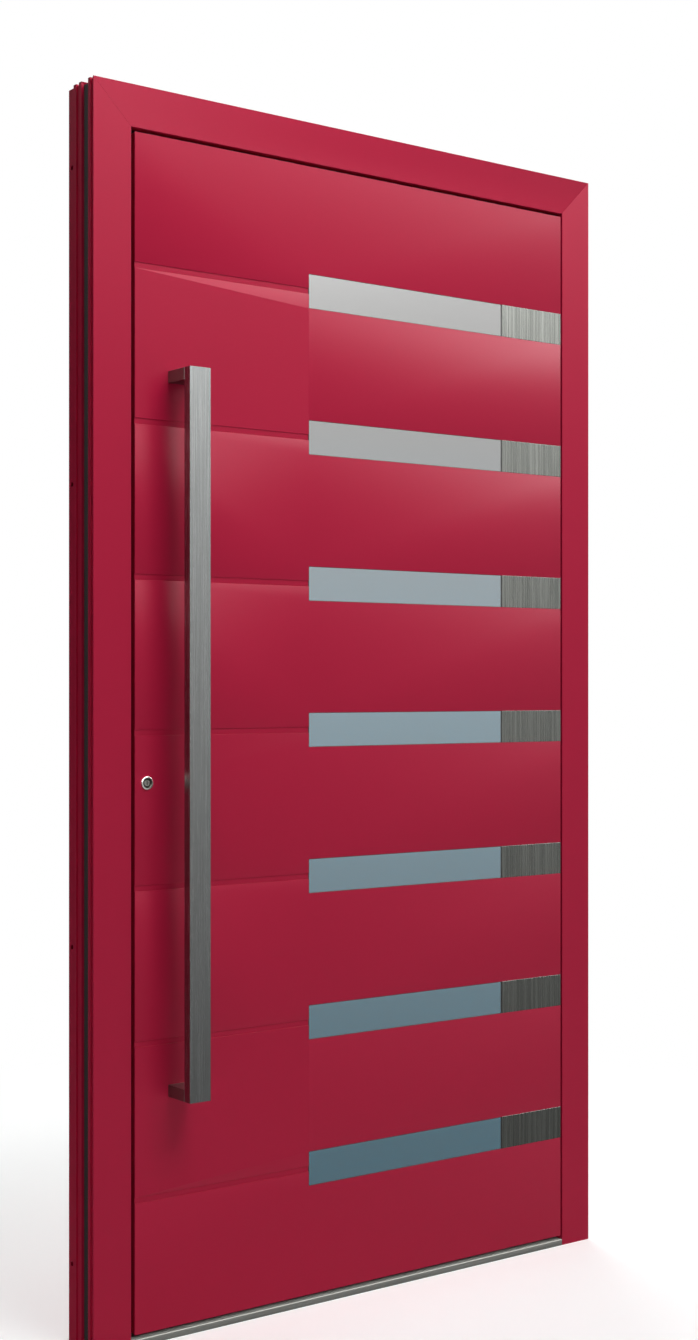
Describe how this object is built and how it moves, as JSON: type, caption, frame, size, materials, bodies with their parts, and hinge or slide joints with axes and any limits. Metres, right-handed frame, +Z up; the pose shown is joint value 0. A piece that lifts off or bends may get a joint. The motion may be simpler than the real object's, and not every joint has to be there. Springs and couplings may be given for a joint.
{
  "type": "aluminium entrance door with frame",
  "caption": "Flush red aluminium entrance door in its frame, with horizontal satin glass strips, brushed steel plates and a long pull bar, swinging inwards.",
  "frame": {"origin": "middle of the threshold's underside, halfway through the frame's depth", "axes": "+X to the right seen from outside, +Y inwards to the room, +Z up"},
  "size_m": [1.1, 0.212, 2.064],
  "materials": {
    "red_powder_coat": "satin powder coat",
    "black_polyamide": "matt, extruded",
    "mill_aluminium": "plain extruded",
    "black_rubber": "matt",
    "brushed_stainless": "brushed along the length",
    "zinc_plated_steel": "zinc plated",
    "nickel_plated_steel": "nickel plated",
    "nickel_plated_brass": "nickel plated",
    "satin_glass": "acid etched",
    "clear_glass": "clear float",
    "black_spacer": "matt",
    "black_sealant": "matt",
    "rigid_foam": "rigid polyurethane foam"
  },
  "bodies": {
    "frame": {"left_jamb_outer_shell": "red_powder_coat", "left_jamb_inner_shell": "red_powder_coat", "right_jamb_outer_shell": "red_powder_coat", "right_jamb_inner_shell": "red_powder_coat", "head_outer_shell": "red_powder_coat", "head_inner_shell": "red_powder_coat", "frame_thermal_breaks": "black_polyamide", "frame_corner_cleats": "mill_aluminium", "threshold_outer_rail": "mill_aluminium", "threshold_thermal_break": "black_polyamide", "threshold_inner_rail": "mill_aluminium", "frame_gasket": "black_rubber", "strike_plates": "brushed_stainless", "electric_strike_case": "zinc_plated_steel", "frame_hinge_brackets": "brushed_stainless", "hinge_pins": "zinc_plated_steel", "frame_screws": "zinc_plated_steel"},
    "leaf": {"lock_stile": "red_powder_coat", "hinge_stile": "red_powder_coat", "top_rail": "red_powder_coat", "bottom_rail": "red_powder_coat", "leaf_outer_profile": "red_powder_coat", "leaf_thermal_break": "black_polyamide", "outer_sheet": "red_powder_coat", "inner_sheet": "red_powder_coat", "foam_core": "rigid_foam", "glass_outer_pane_1": "satin_glass", "glass_outer_pane_2": "satin_glass", "glass_outer_pane_3": "satin_glass", "glass_outer_pane_4": "satin_glass", "glass_outer_pane_5": "satin_glass", "glass_outer_pane_6": "satin_glass", "glass_outer_pane_7": "satin_glass", "glass_inner_panes": "clear_glass", "glass_spacers": "black_spacer", "glazing_joints": "black_sealant", "steel_plates": "brushed_stainless", "leaf_gasket": "black_rubber", "bottom_seal": "black_rubber", "leaf_hinge_brackets": "brushed_stainless", "leaf_screws": "zinc_plated_steel", "pull_bar": "brushed_stainless", "pull_bar_posts": "brushed_stainless", "pull_bar_bolts": "zinc_plated_steel", "lock_faceplate": "brushed_stainless", "main_lock_case": "zinc_plated_steel", "hook_lock_cases": "zinc_plated_steel", "cylinder_body": "nickel_plated_brass", "cylinder_ring": "brushed_stainless", "inner_rosettes": "brushed_stainless"},
    "keeper": {"strike_keeper": "zinc_plated_steel"},
    "cylinder": {"cylinder_core": "nickel_plated_brass", "thumb_turn": "brushed_stainless"},
    "latch": {"latch_bolt": "nickel_plated_steel"},
    "deadbolt": {"deadbolt": "nickel_plated_steel"},
    "upper_hook": {"upper_hook_bolt": "nickel_plated_steel"},
    "lower_hook": {"lower_hook_bolt": "nickel_plated_steel"},
    "rods": {"drive_rods": "zinc_plated_steel"},
    "lever": {"lever_handle": "brushed_stainless", "lever_spindle": "zinc_plated_steel"}
  },
  "joints": [
    {"name": "leaf_swing", "type": "hinge", "parent": "frame", "child": "leaf", "pos_m": [0.4886, 0.055, 1.02], "axis": [0, 0, -1], "range_deg": [0, 100]},
    {"name": "keeper_swing", "type": "hinge", "parent": "frame", "child": "keeper", "pos_m": [-0.508, 0.028, 1.0415], "axis": [0, 0, -1], "range_deg": [0, 75]},
    {"name": "lever_turn", "type": "hinge", "parent": "leaf", "child": "lever", "pos_m": [-0.4506, 0.0435, 1.0135], "axis": [0, 1, 0], "range_deg": [0, 40], "stiffness_Nm_per_rad": 1.2, "springref_deg": -17.19},
    {"name": "latch_slide", "type": "slide", "parent": "leaf", "child": "latch", "axis": [1, 0, 0], "range_m": [0, 0.012]},
    {"name": "cylinder_turn", "type": "hinge", "parent": "leaf", "child": "cylinder", "pos_m": [-0.4506, 0.0435, 0.9215], "axis": [0, 1, 0], "range_deg": [0, 360]},
    {"name": "deadbolt_slide", "type": "slide", "parent": "leaf", "child": "deadbolt", "axis": [-1, 0, 0], "range_m": [0, 0.02]},
    {"name": "rod_slide", "type": "slide", "parent": "leaf", "child": "rods", "axis": [0, 0, 1], "range_m": [0, 0.02]},
    {"name": "upper_hook_swing", "type": "hinge", "parent": "leaf", "child": "upper_hook", "pos_m": [-0.468, 0.0165, 1.69], "axis": [0, -1, 0], "range_deg": [0, 90]},
    {"name": "lower_hook_swing", "type": "hinge", "parent": "leaf", "child": "lower_hook", "pos_m": [-0.468, 0.0165, 0.26], "axis": [0, -1, 0], "range_deg": [0, 90]}
  ],
  "couplings": [
    {"joint": "latch_slide", "follows": "lever_turn", "m_per_rad": 0.017188},
    {"joint": "cylinder_turn", "follows": "rod_slide", "rad_per_m": 314.15},
    {"joint": "deadbolt_slide", "follows": "rod_slide", "ratio": 1},
    {"joint": "upper_hook_swing", "follows": "rod_slide", "rad_per_m": 78.53},
    {"joint": "lower_hook_swing", "follows": "rod_slide", "rad_per_m": 78.53}
  ]
}
